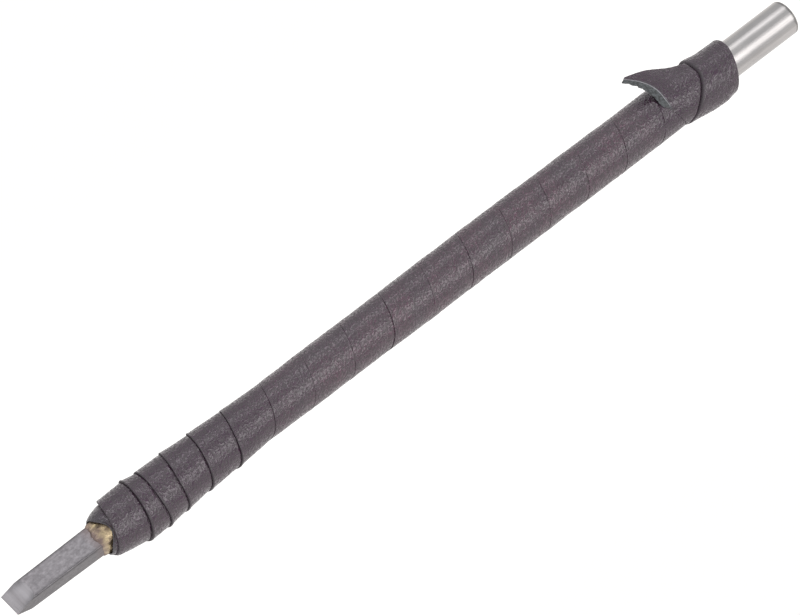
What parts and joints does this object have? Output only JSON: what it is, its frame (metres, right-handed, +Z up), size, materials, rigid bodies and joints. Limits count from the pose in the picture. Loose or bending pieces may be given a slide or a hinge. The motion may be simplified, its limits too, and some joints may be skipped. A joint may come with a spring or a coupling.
{
  "type": "leather-wrapped carving chisel",
  "caption": "Slim hand tool: a flat double-bevel blade brazed into a steel tube that is wound with a thin dark leather strap.",
  "frame": {"origin": "centre of the tube's rear rim, on the tool's axis", "axes": "+X along the tool's axis towards the cutting edge, +Z up as the tool lies on a table with the blade's wide face on top, +Y completes the right-handed frame; the strap's loose tip points to -Y and +Z"},
  "size_m": [0.1606, 0.0106, 0.0118],
  "materials": {
    "blade_steel": "ground, matte",
    "braze": "as brazed, slightly tarnished",
    "tube_steel": "bright drawn, fine scratches along the tube",
    "strap_leather": "fine pebbled grain, dark aubergine brown, low sheen"
  },
  "bodies": {
    "root": {"blade": "blade_steel", "braze_fillet": "braze", "handle_tube": "tube_steel", "strap_mouth_turn": "strap_leather", "strap_grip_turns": "strap_leather", "strap_shaft_turns": "strap_leather", "strap_collar_turn": "strap_leather", "strap_tail_flap": "strap_leather"}
  },
  "joints": []
}
